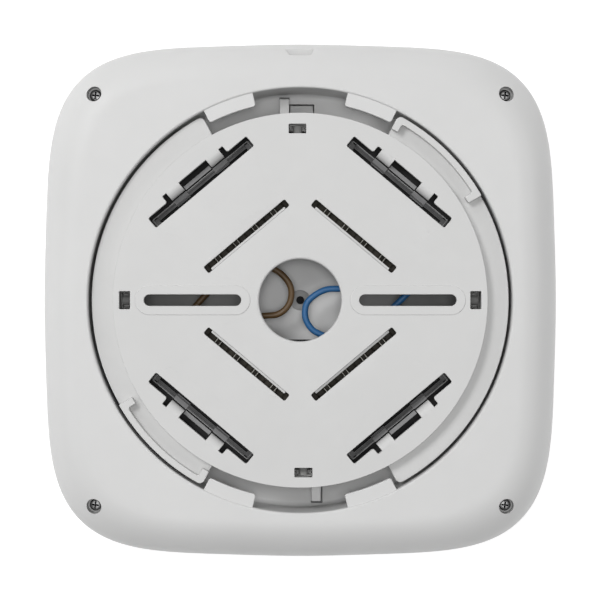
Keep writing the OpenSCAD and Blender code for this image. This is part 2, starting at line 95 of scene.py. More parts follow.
def round_poly(pts, radii, seg=6):
    """Polygon with its corners rounded, counterclockwise."""
    area = sum(a[0] * b[1] - b[0] * a[1] for a, b in zip(pts, pts[1:] + pts[:1]))
    if not isinstance(radii, (list, tuple)):
        radii = [radii] * len(pts)
    radii = list(radii)
    if area < 0:
        pts = pts[::-1]
        radii = radii[::-1]
    out = []
    n = len(pts)
    for i in range(n):
        p0, p, p2 = Vector(pts[i - 1]), Vector(pts[i]), Vector(pts[(i + 1) % n])
        r = radii[i]
        a, b = (p0 - p), (p2 - p)
        if r <= 0 or a.length < 1e-6 or b.length < 1e-6:
            out.append((p.x, p.y))
            continue
        an, bn = a.normalized(), b.normalized()
        ang = math.acos(max(-1, min(1, an.dot(bn))))
        if ang > math.pi - 0.02:
            out.append((p.x, p.y))
            continue
        t = min(r / math.tan(ang / 2), a.length * 0.49, b.length * 0.49)
        r = t * math.tan(ang / 2)
        c = p + (an + bn).normalized() * (r / math.sin(ang / 2))
        s, e = p + an * t - c, p + bn * t - c
        a0, a1 = math.atan2(s.y, s.x), math.atan2(e.y, e.x)
        d = (a1 - a0 + math.pi) % (2 * math.pi) - math.pi
        for k in range(seg + 1):
            q = a0 + d * k / seg
            out.append((c.x + r * math.cos(q), c.y + r * math.sin(q)))
    return out


def rect(x0, x1, y0, y1, r=0.0, seg=6):
    return round_poly([(x0, y0), (x1, y0), (x1, y1), (x0, y1)], r, seg)


def circle(cx, cy, r, n=96):
    return [(cx + r * cosd(i * 360 / n), cy + r * sind(i * 360 / n)) for i in range(n)]


def stadium(cx, cy, length, r, n=24):
    h = length / 2 - r
    pts = [(cx + h + r * cosd(a), cy + r * sind(a)) for a in [-90 + 180 * i / n for i in range(n + 1)]]
    return pts + [(cx - h + r * cosd(a), cy + r * sind(a)) for a in [90 + 180 * i / n for i in range(n + 1)]]


def sector(r0, r1, a0, a1, corner_in=0.0, corner_out=0.0, step=1.5):
    """Ring sector, with its corners rounded."""
    n = max(4, int((a1 - a0) / step))
    outer = [(r1 * cosd(a0 + (a1 - a0) * i / n), r1 * sind(a0 + (a1 - a0) * i / n)) for i in range(n + 1)]
    inner = [(r0 * cosd(a1 + (a0 - a1) * i / n), r0 * sind(a1 + (a0 - a1) * i / n)) for i in range(n + 1)]

    def trim(arc, radius, r, first, last):
        # keeps the arc's inner points clear of the rounded corner, so that the corner gets room
        if radius <= 0:
            return arc
        da = math.degrees(radius * 1.05 / r)
        lo, hi = min(a0, a1) + da, max(a0, a1) - da
        keep = [p for p in arc[1:-1] if lo < math.degrees(math.atan2(p[1], p[0])) % 360 < hi or lo < math.degrees(math.atan2(p[1], p[0])) < hi]
        return [arc[0]] + keep + [arc[-1]]

    outer = trim(outer, corner_out, r1, a0, a1)
    inner = trim(inner, corner_in, r0, a1, a0)
    radii = [corner_out] + [0] * (len(outer) - 2) + [corner_out] + [corner_in] + [0] * (len(inner) - 2) + [corner_in]
    return round_poly(outer + inner, radii, 8)


def offset(pts, d):
    if abs(d) < 1e-9:
        return list(pts)
    n = len(pts)
    out = []
    for i in range(n):
        p0, p, p2 = pts[i - 1], pts[i], pts[(i + 1) % n]
        e1 = (p[0] - p0[0], p[1] - p0[1])
        e2 = (p2[0] - p[0], p2[1] - p[1])
        l1, l2 = math.hypot(*e1) or 1, math.hypot(*e2) or 1
        n1, n2 = (e1[1] / l1, -e1[0] / l1), (e2[1] / l2, -e2[0] / l2)
        k = max(0.4, 1 + n1[0] * n2[0] + n1[1] * n2[1])
        out.append((p[0] + d * (n1[0] + n2[0]) / k, p[1] + d * (n1[1] + n2[1]) / k))
    return out


def place(pts, ang=0.0, dx=0.0, dy=0.0):
    """Shifts an outline and then turns it."""
    c, s = cosd(ang), sind(ang)
    return [((x + dx) * c - (y + dy) * s, (x + dx) * s + (y + dy) * c) for x, y in pts]


def ring(pts, z):
    return [(x, y, z) for x, y in pts]


def prism(name, pts, z0, z1, rt=0.0, rb=0.0, seg=4):
    """Straight solid with rounded top and bottom edges."""
    rs = []
    if rb > 0:
        for k in range(seg + 1):
            f = 90 - 90 * k / seg
            rs.append(ring(offset(pts, -rb * (1 - cosd(f))), z0 + rb - rb * sind(f)))
    else:
        rs.append(ring(pts, z0))
    if rt > 0:
        for k in range(seg + 1):
            f = 90 * k / seg
            rs.append(ring(offset(pts, -rt * (1 - cosd(f))), z1 - rt + rt * sind(f)))
    else:
        rs.append(ring(pts, z1))
    return stack(name, rs)


def cutter(pts, z0, zs, r, z1, seg=4, plane=None):
    """Tool that leaves a rounded edge of radius r where it meets the surface at height zs."""
    h = plane or (lambda x, y: zs)
    rs = [ring(pts, z0)]
    for k in range(seg + 1):
        f = 90 * k / seg
        o = offset(pts, r * (1 - cosd(f)))
        rs.append([(x, y, h(x, y) - r + r * sind(f)) for x, y in o])
    rs.append(ring(offset(pts, r), z1))
    return stack("cutter", rs)


def boolean(ob, tools, op="DIFFERENCE", solver="MANIFOLD"):
    for t in tools:
        m = ob.modifiers.new("b", "BOOLEAN")
        m.operation = op
        m.object = t
        m.solver = solver
    bpy.context.view_layer.update()
    deps = bpy.context.evaluated_depsgraph_get()
    me = bpy.data.meshes.new_from_object(ob.evaluated_get(deps))
    ob.modifiers.clear()
    old = ob.data
    ob.data = me
    bpy.data.meshes.remove(old)
    for t in tools:
        d = t.data
        bpy.data.objects.remove(t)
        bpy.data.meshes.remove(d)
    return ob


def finish_shape(ob, angle=32, bevel=0.0, seg=2, weld=False, limit=40):
    """Bevelled edges, and shading that keeps flat faces flat."""
    if weld:
        m = ob.modifiers.new("weld", "WELD")
        m.merge_threshold = 2e-6
    if bevel > 0:
        m = ob.modifiers.new("bevel", "BEVEL")
        m.width = bevel * MM
        m.segments = seg
        m.limit_method = "ANGLE"
        m.angle_limit = math.radians(limit)
        m.use_clamp_overlap = True
        m.harden_normals = False
    if not weld:
        me = ob.data
        for p in me.polygons:
            p.use_smooth = True
        me.set_sharp_from_angle(angle=math.radians(angle))
    m = ob.modifiers.new("normals", "WEIGHTED_NORMAL")
    m.keep_sharp = True
    m.weight = 60
    return ob


def join(obs, name):
    """One object out of several, keeping their materials."""
    me = bpy.data.meshes.new(name)
    bm = bmesh.new()
    mats = []
    for o in obs:
        base = len(mats)
        mats += list(o.data.materials) or [None]
        start = len(bm.faces)
        bm.from_mesh(o.data)
        bm.faces.ensure_lookup_table()
        for f in bm.faces[start:]:
            f.material_index += base
    bm.to_mesh(me)
    bm.free()
    for m in mats:
        me.materials.append(m)
    for o in obs:
        d = o.data
        bpy.data.objects.remove(o)
        bpy.data.meshes.remove(d)
    ob = bpy.data.objects.new(name, me)
    scene.collection.objects.link(ob)
    return ob


# ------------------------------------------------------------------ materials
def new_mat(name):
    m = bpy.data.materials.new(name)
    m.use_nodes = True
    nt = m.node_tree
    return m, nt, nt.nodes["Principled BSDF"]


def node(nt, kind, **kw):
    n = nt.nodes.new(kind)
    for k, v in kw.items():
        if k in n.inputs.keys():
            n.inputs[k].default_value = v
        else:
            setattr(n, k, v)
    return n


def coords(nt, scale=(1, 1, 1), rot=(0, 0, 0)):
    tc = nt.nodes.new("ShaderNodeTexCoord")
    mp = nt.nodes.new("ShaderNodeMapping")
    mp.inputs["Scale"].default_value = scale
    mp.inputs["Rotation"].default_value = rot
    nt.links.new(tc.outputs["Object"], mp.inputs["Vector"])
    return mp.outputs["Vector"]


def noise(nt, vec, scale, detail=3, rough=0.55):
    n = nt.nodes.new("ShaderNodeTexNoise")
    n.inputs["Scale"].default_value = scale
    n.inputs["Detail"].default_value = detail
    n.inputs["Roughness"].default_value = rough
    nt.links.new(vec, n.inputs["Vector"])
    return n.outputs["Fac"]


def ramp(nt, fac, lo, hi, p0=0.3, p1=0.7):
    r = nt.nodes.new("ShaderNodeMapRange")
    r.inputs["From Min"].default_value = p0
    r.inputs["From Max"].default_value = p1
    r.inputs["To Min"].default_value = lo
    r.inputs["To Max"].default_value = hi
    nt.links.new(fac, r.inputs["Value"])
    return r.outputs["Result"]


def colour_mix(nt, fac, c0, c1):
    r = nt.nodes.new("ShaderNodeValToRGB")
    r.color_ramp.elements[0].position = 0.35
    r.color_ramp.elements[1].position = 0.65
    r.color_ramp.elements[0].color = (*c0, 1)
    r.color_ramp.elements[1].color = (*c1, 1)
    nt.links.new(fac, r.inputs["Fac"])
    return r.outputs["Color"]


def bump(nt, bsdf, fac, dist, strength=1.0):
    b = nt.nodes.new("ShaderNodeBump")
    b.inputs["Distance"].default_value = dist
    b.inputs["Strength"].default_value = strength
    nt.links.new(fac, b.inputs["Height"])
    nt.links.new(b.outputs["Normal"], bsdf.inputs["Normal"])


def shade(c, k):
    return tuple(min(1, x * k) for x in c)


def plastic(name, base, rough=0.5, grain=2200, depth=6e-6, vary=0.025, spec=0.25):
    m, nt, b = new_mat(name)
    v = coords(nt)
    low = noise(nt, v, 24, 4)
    fine = noise(nt, v, grain, 2)
    nt.links.new(colour_mix(nt, low, shade(base, 1 - vary), shade(base, 1 + vary)), b.inputs["Base Color"])
    nt.links.new(ramp(nt, noise(nt, v, 160, 4), rough - 0.05, rough + 0.06), b.inputs["Roughness"])
    b.inputs["Specular IOR Level"].default_value = spec
    bump(nt, b, fine, depth, 0.6)
    return m


def metal(name, base, rough=0.35, stretch=(1, 1, 1), grain=900, depth=4e-6, vary=0.12):
    m, nt, b = new_mat(name)
    v = coords(nt, stretch)
    f = noise(nt, v, grain, 4)
    nt.links.new(colour_mix(nt, noise(nt, v, grain / 6, 3), shade(base, 1 - vary), shade(base, 1 + vary)), b.inputs["Base Color"])
    nt.links.new(ramp(nt, f, rough - 0.08, rough + 0.12), b.inputs["Roughness"])
    b.inputs["Metallic"].default_value = 1.0
    bump(nt, b, f, depth, 0.7)
    return m


def board(name, base, trace):
    m, nt, b = new_mat(name)
    v = coords(nt)
    br = nt.nodes.new("ShaderNodeTexBrick")
    br.inputs["Scale"].default_value = 260
    br.inputs["Mortar Size"].default_value = 0.06
    br.inputs["Color1"].default_value = (*base, 1)
    br.inputs["Color2"].default_value = (*shade(base, 0.85), 1)
    br.inputs["Mortar"].default_value = (*trace, 1)
    nt.links.new(v, br.inputs["Vector"])
    nt.links.new(br.outputs["Color"], b.inputs["Base Color"])
    nt.links.new(ramp(nt, noise(nt, v, 500, 3), 0.25, 0.42), b.inputs["Roughness"])
    bump(nt, b, br.outputs["Fac"], 2e-5, 0.5)
    return m


def winding(name, base, pitch=900, rough=0.3):
    m, nt, b = new_mat(name)
    v = coords(nt)
    w = nt.nodes.new("ShaderNodeTexWave")
    w.inputs["Scale"].default_value = pitch
    w.inputs["Distortion"].default_value = 0.4
    nt.links.new(v, w.inputs["Vector"])
    nt.links.new(colour_mix(nt, w.outputs["Fac"], shade(base, 0.6), shade(base, 1.15)), b.inputs["Base Color"])
    nt.links.new(ramp(nt, noise(nt, v, 300, 3), rough - 0.06, rough + 0.1), b.inputs["Roughness"])
    bump(nt, b, w.outputs["Fac"], 6e-5, 0.8)
    return m


WHITE = (0.585, 0.585, 0.582)
MAT = {
    "plate_white": plastic("plate_white", (0.560, 0.560, 0.556), 0.50, 2300, 5e-6, 0.012),
    "housing_white": plastic("housing_white", WHITE, 0.46, 2000, 5e-6, 0.012),
    # painted shade: dark grey for the housing floor under the plate and the walls of the floor's holes, standing in
    # for the shade down there
    "well_painted_shade": plastic("well_painted_shade", (0.215, 0.215, 0.213), 0.55, 1800, 6e-6, 0.03),
    # painted shade: mid grey for the dish round the reset hole
    "dish_painted_shade": plastic("dish_painted_shade", (0.42, 0.42, 0.418), 0.5, 1800, 6e-6, 0.02),
    # painted shade: dark grey for the snap arms and their sleeves, standing in for the shade in the windows
    "arm_painted_shade": plastic("arm_painted_shade", (0.27, 0.27, 0.265), 0.5, 1800, 6e-6, 0.03),
    "cover_white": plastic("cover_white", (0.62, 0.62, 0.615), 0.36, 1600, 4e-6, 0.012),
    "socket_black": plastic("socket_black", (0.027, 0.027, 0.027), 0.6, 1800, 1.2e-5, 0.15, 0.06),
    "socket_rail": plastic("socket_rail", (0.048, 0.048, 0.049), 0.42, 1800, 1.0e-5, 0.12),
    # painted highlight: light grey for thin strips on the socket rails, standing in for the light caught on their
    # edges
    "socket_painted_highlight": plastic("socket_painted_highlight", (0.24, 0.24, 0.24), 0.42, 1800, 1.0e-5, 0.12),
    "spring_steel": plastic("spring_steel", (0.225, 0.225, 0.227), 0.42, 1200, 8e-6, 0.06),
    "seal_rubber": plastic("seal_rubber", (0.034, 0.030, 0.022), 0.62, 1500, 1.5e-5, 0.2, 0.25),
    "seal_rib": plastic("seal_rib", (0.36, 0.35, 0.32), 0.45, 1500, 6e-6, 0.08),
    "gasket_rubber": plastic("gasket_rubber", (0.02, 0.02, 0.02), 0.7, 1200, 2e-5, 0.2, 0.2),
    "screw_steel": metal("screw_steel", (0.21, 0.21, 0.21), 0.36),
    "terminal_black": plastic("terminal_black", (0.011, 0.011, 0.012), 0.55, 1500, 1.2e-5, 0.2, 0.08),
    "contact_brass": metal("contact_brass", (0.72, 0.50, 0.20), 0.28),
    "button_orange": plastic("button_orange", (0.72, 0.24, 0.04), 0.38, 1500, 8e-6, 0.06),
    "lead_brown": plastic("lead_brown", (0.088, 0.052, 0.022), 0.42, 900, 1.2e-5, 0.16, 0.3),
    "lead_blue": plastic("lead_blue", (0.024, 0.108, 0.255), 0.42, 900, 1.2e-5, 0.10, 0.3),
    "chip_black": plastic("chip_black", (0.016, 0.016, 0.018), 0.45, 1100, 1.6e-5, 0.2),
    "board_green": board("board_green", (0.012, 0.115, 0.045), (0.03, 0.20, 0.08)),
    "board_tan": board("board_tan", (0.42, 0.30, 0.12), (0.34, 0.24, 0.10)),
    "pad_blue": plastic("pad_blue", (0.28, 0.46, 0.60), 0.7, 700, 3e-5, 0.08),
    "heatsink": metal("heatsink", (0.70, 0.70, 0.72), 0.32, (1, 14, 1), 500),
    "can_steel": metal("can_steel", (0.60, 0.60, 0.61), 0.30, (6, 1, 1), 400),
    "led_white": plastic("led_white", (0.78, 0.77, 0.70), 0.3, 1300, 8e-6, 0.04),
    "tape_yellow": winding("tape_yellow", (0.78, 0.55, 0.06), 300, 0.35),
    "winding_copper": winding("winding_copper", (0.50, 0.19, 0.05), 1100, 0.3),
    "capacitor_sleeve": plastic("capacitor_sleeve", (0.02, 0.03, 0.085), 0.3, 700, 1e-5, 0.15, 0.5),
}
lp, lp_nt, lp_b = new_mat("light_pipe")
lp_b.inputs["Transmission Weight"].default_value = 0.85
lp_b.inputs["IOR"].default_value = 1.49
lv = coords(lp_nt)
lp_nt.links.new(colour_mix(lp_nt, noise(lp_nt, lv, 200, 3), (0.86, 0.88, 0.90), (0.92, 0.94, 0.95)), lp_b.inputs["Base Color"])
lp_nt.links.new(ramp(lp_nt, noise(lp_nt, lv, 1800, 3), 0.35, 0.5), lp_b.inputs["Roughness"])
bump(lp_nt, lp_b, noise(lp_nt, lv, 1800, 2), 1e-5, 0.5)
MAT["light_pipe"] = lp


def dress(ob, slot, *others):
    ob.data.materials.clear()
    for s in (slot,) + others:
        ob.data.materials.append(MAT[s])
    return ob


def put(ob, body, slot, *nodes):
    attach(ob, body)
    if nodes:
        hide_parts(*nodes)
    return ob


# ------------------------------------------------------------------ shared sizes, as in the design
HALF, N_SQ, BACK, PART, FRONT, WALL = 104.65, 4.6, -1.0, -26.0, -48.0, 2.5
RIM_IN, RIM_DEEP = 16.0, 22.5
WELL, CUP, FLOOR, FLOOR_B = 85.2, 87.7, -25.0, -27.5
SCR, HEAD_Z = 82.9, -10.0
DIAG = [50, 130, 230, 310]
NPT = 360


def sq(t):
    return (abs(cosd(t)) ** N_SQ + abs(sind(t)) ** N_SQ) ** (-1 / N_SQ) * (1 + 0.0033 * cosd(8 * t))


TH = [i * 360 / NPT for i in range(NPT)]
UNIT_SQ = [(sq(t) * cosd(t), sq(t) * sind(t)) for t in TH]
UNIT_C = [(cosd(t), sind(t)) for t in TH]


def ring_sq(hw, z): return [(hw * x, hw * y, z) for x, y in UNIT_SQ]
def ring_c(r, z): return [(r * x, r * y, z) for x, y in UNIT_C]


def rim_z(x, y):
    """Height of the back's outer surface."""
    t = math.degrees(math.atan2(y, x))
    hw = math.hypot(x, y) / sq(t)
    s = (hw - (HALF - RIM_IN)) / RIM_IN
    if s <= 0:
        return BACK
    s = min(s, 1)
    return BACK - RIM_DEEP * (1 - math.sqrt(1 - s * s))


def cover_z(x, y):
    """Height of the front cover's outer surface."""
    hw = math.hypot(x, y) / sq(math.degrees(math.atan2(y, x)))
    c = max(0.0, min(1.0, 1 - (HALF - hw) / 26))
    return PART - 22 * math.sqrt(1 - c * c)


# ------------------------------------------------------------------ back housing
# the rings at r 19 and 72 bound the floor band that gets the painted shade below
st = [ring_c(6, FLOOR), ring_c(19, FLOOR), ring_c(45, FLOOR), ring_c(72, FLOOR), ring_c(80, FLOOR)]
for k in range(7):
    a = -90 + 15 * k
    st.append(ring_c(83.1 + 1.8 * cosd(a), FLOOR + 1.8 + 1.8 * sind(a)))
st.append(ring_c(85.05, -12))
for k in range(6):
    a = 180 - 18 * k
    st.append(ring_c(WELL + 0.85 + 0.85 * cosd(a), BACK - 0.85 + 0.85 * sind(a)))
st.append(ring_sq(87.6, BACK))
for k in range(0, 25):
    u = 90 * k / 24
    st.append(ring_sq(HALF - RIM_IN * (1 - sind(u)), BACK - RIM_DEEP * (1 - cosd(u))))
st += [ring_sq(HALF, PART + 0.5), ring_sq(HALF - 0.15, PART + 0.15), ring_sq(HALF - 0.5, PART), ring_sq(HALF - WALL, PART)]
for k in range(0, 13):
    u = 90 - 90 * k / 12
    st.append(ring_sq(HALF - WALL - (RIM_IN - 1) * (1 - sind(u)), BACK - WALL - (RIM_DEEP - 2) * (1 - cosd(u))))
st += [ring_c(CUP, BACK - WALL), ring_c(CUP, FLOOR_B), ring_c(40, FLOOR_B), ring_c(6, FLOOR_B)]
housing = stack("rear_housing_shell", st[::-1])

adds = []
for a in (90 - 19.95, 90 + 19.95, 270 - 19.95, 270 + 19.95):
    adds.append(prism("tab", sector(79.8, WELL + 1.2, a - 7.05, a + 7.05, 1.6, 0.0), -4.2, -1.6, 0.35, 0.2))
for s in (1, -1):
    o = rect(-8.4, -4.55, 76.0, 82.1, 0.35) if s > 0 else rect(4.55, 8.4, -82.1, -76.0, 0.35)
    adds.append(prism("rib", o, FLOOR - 0.6, -17.0, 0.35))
for sx in (-1, 1):
    for sy in (-1, 1):
        o = circle(sx * SCR, sy * SCR, 5.0, 48)
        adds.append(stack("post", [ring(o, PART + 0.02), [(x, y, rim_z(x, y) - 1.1) for x, y in o]]))
    for y in (-18, 62):
        adds.append(prism("post", circle(sx * 56, y, 3.0, 40), -38.0, FLOOR_B + 0.6))
    for y in (-36, -69):
        adds.append(prism("post", circle(sx * 48, y, 3.0, 40), -38.0, FLOOR_B + 0.6))
adds.append(prism("bearing", rect(-7.3, -4.6, 59.6, 64.2, 0.3), FLOOR_B - 1.5, FLOOR_B + 0.3))
adds.append(prism("bearing", rect(5.6, 8.5, 59.6, 64.2, 0.3), FLOOR_B - 1.5, FLOOR_B + 0.3))
adds.append(prism("sill", rect(-8, 7.2, 95.6, 100.5, 0.3), -12.2, -8.5))
for o in adds:
    boolean(housing, [o], "UNION")

cuts = []
for sx in (-1, 1):
    for sy in (-1, 1):
        cx, cy = sx * SCR, sy * SCR
        z0 = rim_z(cx, cy)
        gx = (rim_z(cx + 2, cy) - rim_z(cx - 2, cy)) / 4
        gy = (rim_z(cx, cy + 2) - rim_z(cx, cy - 2)) / 4
        cuts.append(cutter(circle(cx, cy, 3.1, 72), HEAD_Z - 2, 0, 0.45, 3,
                           plane=lambda x, y, cx=cx, cy=cy, z0=z0, gx=gx, gy=gy: z0 + gx * (x - cx) + gy * (y - cy)))
        cuts.append(prism("c", circle(cx, cy, 1.8, 32), -40, HEAD_Z - 1.5))
cuts.append(cutter(rect(-8.2, 8.2, 42.8, 57.2, 0.5), FLOOR_B - 1, FLOOR, 0.3, FLOOR + 1))
for gx, gy in ((-55, -31.2), (30, -30.9)):
    cuts.append(prism("c", circle(gx, gy, 3.6, 48), FLOOR_B - 1, FLOOR + 1))
cuts.append(cutter(rect(-4.5, 5.7, 60.5, 80.7, 0.25), FLOOR_B - 2.5, FLOOR, 0.12, FLOOR + 1, 3))
cuts.append(stack("c", [[(-6, 61.9 + 0.95 * cosd(i * 15), FLOOR - 1.8 + 0.95 * sind(i * 15)) for i in range(24)],
                        [(7.2, 61.9 + 0.95 * cosd(i * 15), FLOOR - 1.8 + 0.95 * sind(i * 15)) for i in range(24)]]))
# Dish and hole of the reset button
dish = circle(0, 0, 1.0, 64)
cuts.append(stack("c", [[(1.65 * x, 1.65 * y, FLOOR_B - 1) for x, y in dish],
                        [(1.65 * x, 1.65 * y, FLOOR - 2.2) for x, y in dish],
                        [(1.85 * x, 1.85 * y, FLOOR - 2.1) for x, y in dish],
                        [(3.7 * x, 3.7 * y, FLOOR - 1.3) for x, y in dish],
                        [(4.0 * x, 4.0 * y, FLOOR - 1.0) for x, y in dish],
                        [(4.1 * x, 4.1 * y, FLOOR - 0.1) for x, y in dish],
                        [(4.25 * x, 4.25 * y, FLOOR + 0.05) for x, y in dish],
                        [(4.25 * x, 4.25 * y, FLOOR + 1) for x, y in dish]]))
# Tool notch in the rim, with a ramp at its left
notch = round_poly([(-6.2, 101.6), (-4.3, 98.7), (3.9, 98.7), (4.6, 99.2), (5.3, 101.0), (5.3, 110), (-6.2, 110)], [0.9, 0.7, 0.3, 0.3, 0.3, 0, 0], 5)
cuts.append(stack("c", [[(x, y, -9.1 - (102.5 - y) * 0.36) for x, y in notch], ring(notch, -3.0)]))
# Relief grooves at the feet of the stop ribs
for s, q in ((1, rect(-8.6, -4.35, 82.55, 83.55, 0.2, 3)), (-1, rect(4.35, 9.2, -83.55, -82.55, 0.2, 3)), (-1, rect(8.55, 9.15, -83.4, -74.5, 0.2, 3))):
    cuts.append(prism("c", q, FLOOR - 1.1, FLOOR + 1.4))
for o in cuts:
    boolean(housing, [o])
dress(housing, "housing_white", "well_painted_shade", "dish_painted_shade", "terminal_black")
for f in housing.data.polygons:
    c = f.center * 1000
    r = math.hypot(c.x, c.y)
    far = max(math.hypot(housing.data.vertices[v].co.x, housing.data.vertices[v].co.y) for v in f.vertices) * 1000
    if c.z > FLOOR + 0.03 or r > 84:
        continue
    # painted shade: the walls of the reset button's hole get the black terminal material
    if far < 1.75:
        f.material_index = 3
    # painted shade on the dish round the reset hole
    elif far < 4.35 and c.z < FLOOR - 0.03:
        f.material_index = 2
    # painted shade on the floor band under the plate and on the walls of the floor's holes
    elif far > 4.4 and (c.z < FLOOR - 0.03 or 19 < r < 72):
        f.material_index = 1
finish_shape(housing, 30)
put(housing, "unit", "housing_white", *[n for n in ("rear_housing", "well_floor") if n in frame["nodes"]])

# ------------------------------------------------------------------ front cover
st = [ring_c(4.05, FRONT + 2.4), ring_c(4.05, FRONT + 0.3), ring_c(4.35, FRONT), ring_c(12, FRONT), ring_sq(60, FRONT)]
for k in range(0, 23):
    w = 90 - 90 * k / 22
    st.append(ring_sq(HALF - 26 * (1 - cosd(w)), PART - 22 * sind(w) if w > 0 else PART - 0.5))
st[-1:] = [ring_sq(HALF, PART - 0.55), ring_sq(HALF - 0.15, PART - 0.2), ring_sq(HALF - 0.5, PART - 0.05), ring_sq(HALF - WALL, PART - 0.05)]
for k in range(0, 13):
    w = 90 * k / 12
    st.append(ring_sq(HALF - WALL - 25 * (1 - cosd(w)), PART - 0.4 - 19.2 * sind(w)))
st += [ring_c(12, FRONT + 2.4)]
cover = stack("front_cover_shell", st, cap=False, loop=True)
for sx in (-1, 1):
    for sy in (-1, 1):
        o = circle(sx * SCR, sy * SCR, 4.2, 40)
        boolean(cover, [stack("post", [[(x, y, cover_z(x, y) + 1.2) for x, y in o], ring(o, PART - 0.05)])], "UNION")
        boolean(cover, [prism("c", circle(sx * SCR, sy * SCR, 1.55, 24), PART - 9, PART + 1)])
dress(cover, "cover_white")
finish_shape(cover, 30)
put(cover, "unit", "cover_white", "front_cover")

# ------------------------------------------------------------------ mounting plate
DISC, DISC_T, SKIRT, WING, W_TOP, W_BOT = 75.0, 2.6, -20.0, 83.9, -4.6, -7.0
st = [ring_c(6, 0), ring_c(40, 0)]
for k in range(6):
    a = 90 - 18 * k
    st.append(ring_c(DISC - 0.12 + 0.12 * cosd(a), -0.12 + 0.12 * sind(a)))
st += [ring_c(DISC, SKIRT + 0.3), ring_c(DISC - 0.3, SKIRT), ring_c(DISC - 1.8, SKIRT), ring_c(DISC - 1.8, -DISC_T), ring_c(6, -DISC_T)]
plate = stack("mounting_plate_body", st[::-1])
adds = []
for s in (0, 180):
    adds.append(prism("wing", place(sector(DISC - 0.9, WING, -62, 62, 0, 3.6), s), W_BOT, W_TOP, 0.4, 0.25))
    # Rail with its two hooks
    rail = []
    n = 22
    for i in range(n + 1):
        a = 30 + 32 * i / n
        rail.append((WING * cosd(a), WING * sind(a)))
    a_in = 62 - 2.15
    rail.append((77.8 * cosd(62), 77.8 * sind(62)))
    rail.append((77.8 * cosd(a_in), 77.8 * sind(a_in)))
    for i in range(n + 1):
        a = a_in - (a_in - 32.1) * i / n
        rail.append((81.3 * cosd(a), 81.3 * sind(a)))
    rail.append((77.8 * cosd(32.1), 77.8 * sind(32.1)))
    rail.append((77.8 * cosd(30), 77.8 * sind(30)))
    da = math.degrees(3.7 / WING)
    rail = [p for i, p in enumerate(rail) if not (0 < i < n and math.degrees(math.atan2(p[1], p[0])) > 62 - da and math.hypot(*p) > 83)]
    k = next(i for i, p in enumerate(rail) if abs(math.degrees(math.atan2(p[1], p[0])) - 62) < 1e-6 and math.hypot(*p) > 83)
    radii = [0.0] * len(rail)
    radii[0] = 0.4
    radii[k] = 3.6
    radii[k + 1] = radii[k + 2] = 0.5
    radii[k + 3] = 0.8
    radii[-1] = radii[-2] = 0.5
    radii[-3] = 0.8
    adds.append(prism("rail", place(round_poly(rail, radii, 7), s), W_BOT + 0.3, -0.6, 0.35))
for s in (0, 180):
    adds.append(prism("lug", place(sector(DISC - 0.9, 81, 118.4, 121.5, 0, 0), s), -19.0, -8.0))
for s in (-1, 1):
    adds.append(prism("pad", stadium(s * 43.1, 0, 46.2, 5.9), -1.0, 0.3, 0.22))
for o in adds:
    boolean(plate, [o], "UNION")

cuts = [cutter(circle(0, 0, 16.5, 180), -6, 0, 0.9, 3, 6)]
for s in (-1, 1):
    cuts.append(cutter(stadium(s * 43.1, 0, 39.0, 2.3), -6, 0.3, 0.25, 3))
# Clip slots: a long slot, two notches and a window, with the two lips left for later
clip = round_poly([(-25.6, -2.5), (25.6, -2.5), (25.6, 2.5), (15.7, 2.5), (15.7, 5.6), (-15.7, 5.6), (-15.7, 2.5), (-25.6, 2.5)],
                  [0.7, 0.7, 0.7, 0.9, 0.5, 0.5, 0.9, 0.7], 6)
for a in DIAG:
    cuts.append(cutter(place(clip, a - 90, 0, 61.7), -2.6 - 0.6, 0, 0.22, 3))
    cuts.append(cutter(place(rect(-21.2, 21.2, -1.65, 1.65, 0.75), a - 90, 0, 33.4), -3.4, 0, 0.18, 3))
for x0, x1, y0, y1 in ((-4.6, 2.4, 66.8, 70.6), (-2.3, 4.9, -70.9, -67.1), (-72.5, -68.1, -3.6, 3.6), (68.1, 72.5, -3.6, 3.6)):
    cuts.append(cutter(rect(x0, x1, y0, y1, 0.35), -4, 0, 0.18, 3))
for a in (90, 111, 270, 291):
    cuts.append(prism("c", place(rect(69, 77, -6.2, 6.2, 0.4), a), SKIRT - 1, SKIRT + 4, 0.4))
for o in cuts:
    boolean(plate, [o])

# Lips that roll down into the clip slots
def lip(a, u0, u1):
    prof = [(6.4, 0.0), (5.4, 0.0)]
    prof += [(5.4 - 3.4 * sind(f), -3.9 + 3.9 * cosd(f)) for f in range(10, 91, 10)]
    prof += [(2.0, -4.9), (2.9, -4.9)]
    prof += [(5.4 - 2.4 * sind(f), -3.9 + 2.8 * cosd(f) - 0.35) for f in range(80, 9, -14)]
    prof += [(5.4, -1.6), (6.4, -1.6)]
    rs = []
    for u in (u0, u0 + 0.12, u1 - 0.12, u1):
        e = 0.12 if u in (u0, u1) else 0.0
        r = []
        for v, z in prof:
            (x, y), = place([(u, v)], a - 90, 0, 61.7)
            r.append((x, y, z - e))
        rs.append(r)
    return stack("lip", rs)


adds = []
for a in DIAG:
    adds += [lip(a, 7.1, 13.6), lip(a, -13.6, -7.1)]
    adds.append(prism("ledge_root", place(rect(-19.0, 19.0, -2.4, -0.75, 0.2), a - 90, 0, 33.4), -DISC_T, -2.3))
    adds.append(prism("ledge", place(rect(-19.2, 19.2, -1.54, -0.62, 0.25), a - 90, 0, 33.4), -DISC_T, -1.45, 0.14))
for o in adds:
    boolean(plate, [o], "UNION")
